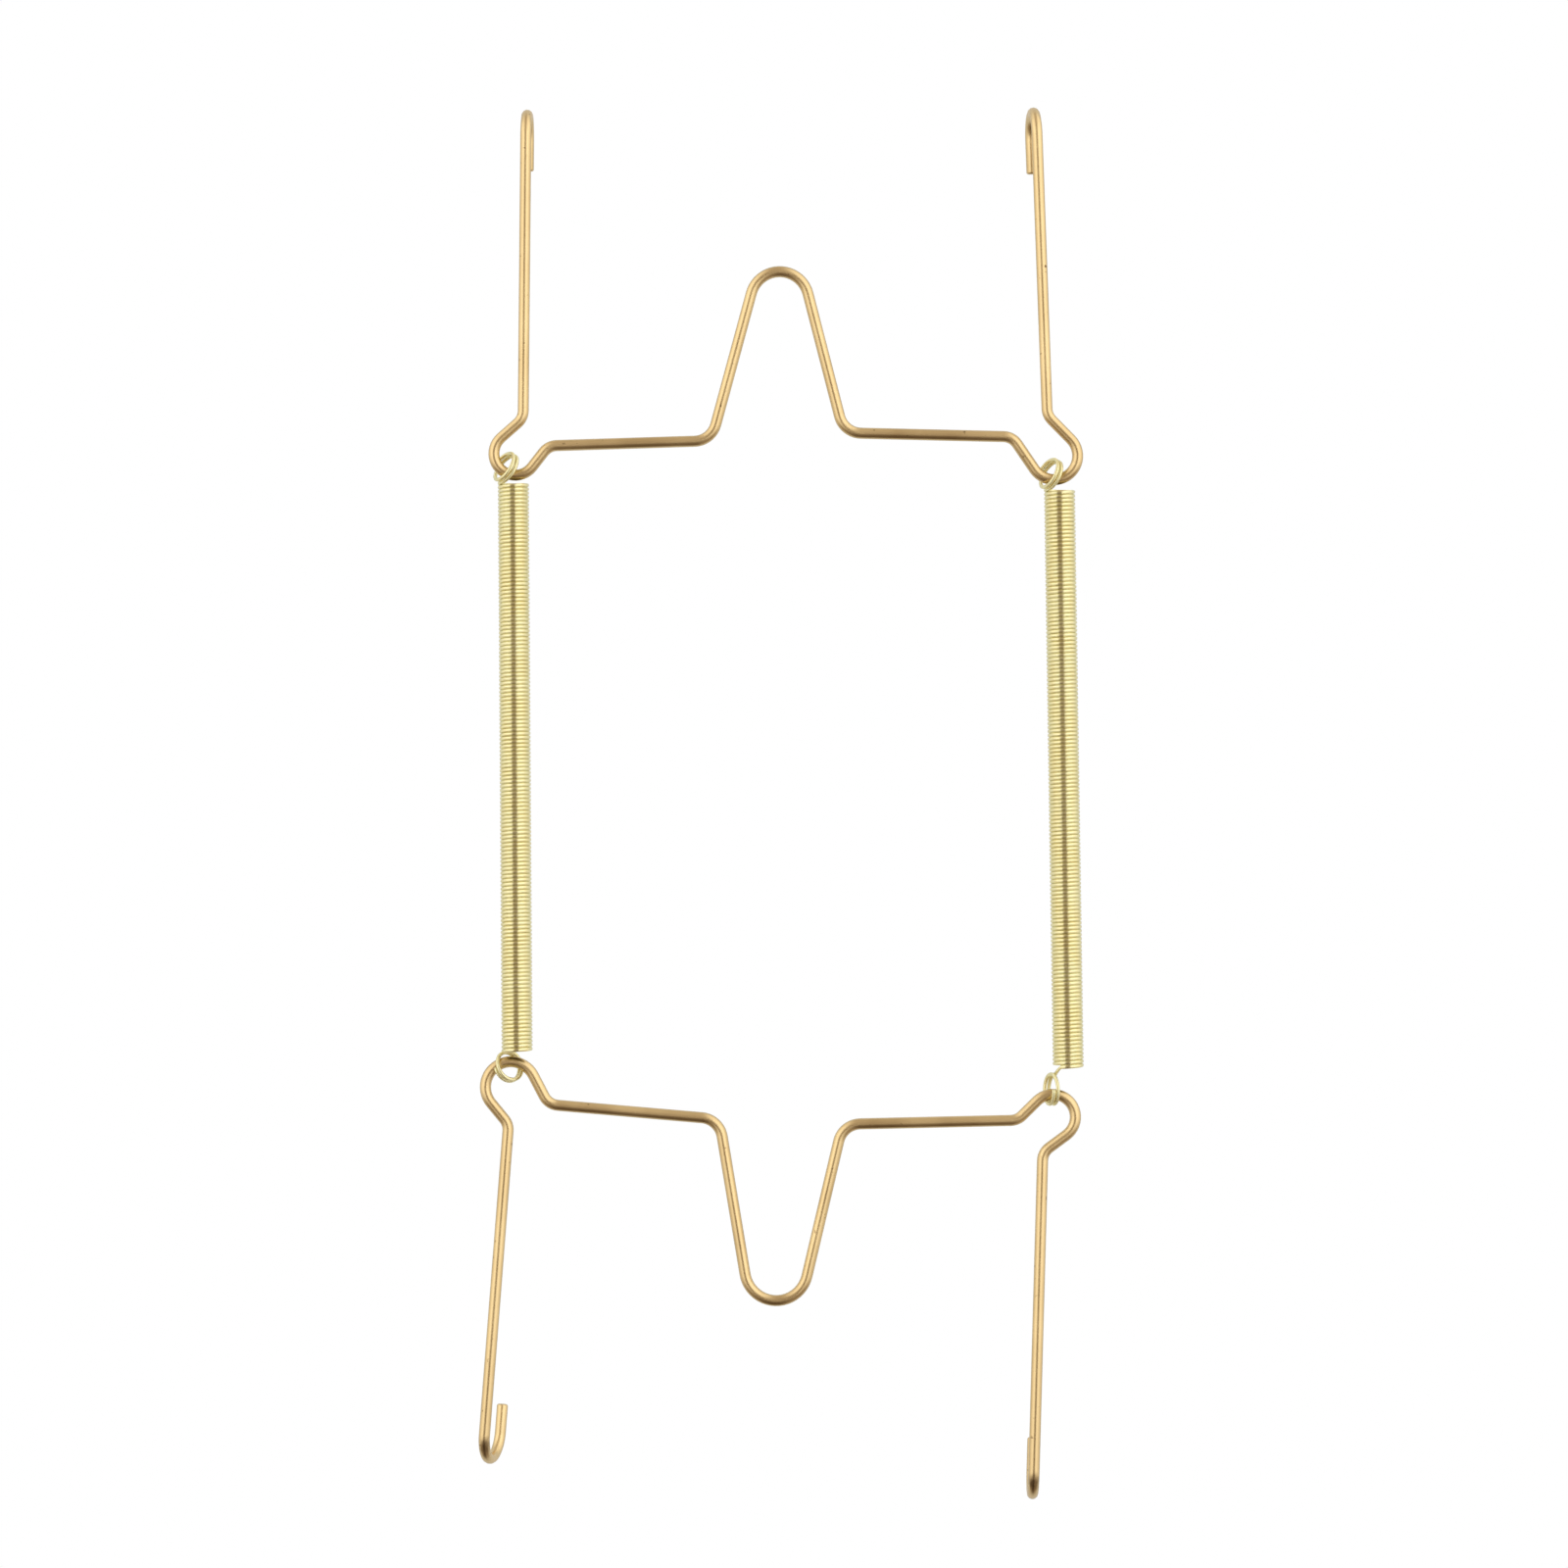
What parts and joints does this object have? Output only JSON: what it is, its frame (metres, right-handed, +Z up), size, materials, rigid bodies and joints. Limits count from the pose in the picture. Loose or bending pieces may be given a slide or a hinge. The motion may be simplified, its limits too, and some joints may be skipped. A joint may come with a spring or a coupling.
{
  "type": "wire plate hanger",
  "caption": "Spring plate hanger: upper and lower bent wires with a peak and rim hooks, drawn together by close-wound coil springs looped into their eyes.",
  "frame": {"origin": "inside of the upper peak's crown, where the nail bears, in the plane of the wires", "axes": "+Z up, +X to the right seen from the wall side, +Y from the wall towards the plate"},
  "size_m": [0.1076, 0.0142, 0.2479],
  "materials": {
    "frame_wire": "lacquered golden bronze, lightly pitted",
    "spring_wire": "bright pale brass plating"
  },
  "bodies": {
    "upper_wire": {"upper_wire": "frame_wire"},
    "springs": {"left_spring": "spring_wire", "right_spring": "spring_wire"},
    "lower_wire": {"lower_wire": "frame_wire"}
  },
  "joints": [
    {"name": "spring_swing", "type": "hinge", "parent": "upper_wire", "child": "springs", "pos_m": [-0.00054, 0, -0.03517], "axis": [0.9999, 0, -0.0133], "range_deg": [-60, 20]},
    {"name": "spring_stretch", "type": "slide", "parent": "springs", "child": "lower_wire", "axis": [0, 0, -1], "range_m": [0, 0.06], "stiffness_N_per_m": 278, "deforming": ["left_spring", "right_spring"]}
  ]
}
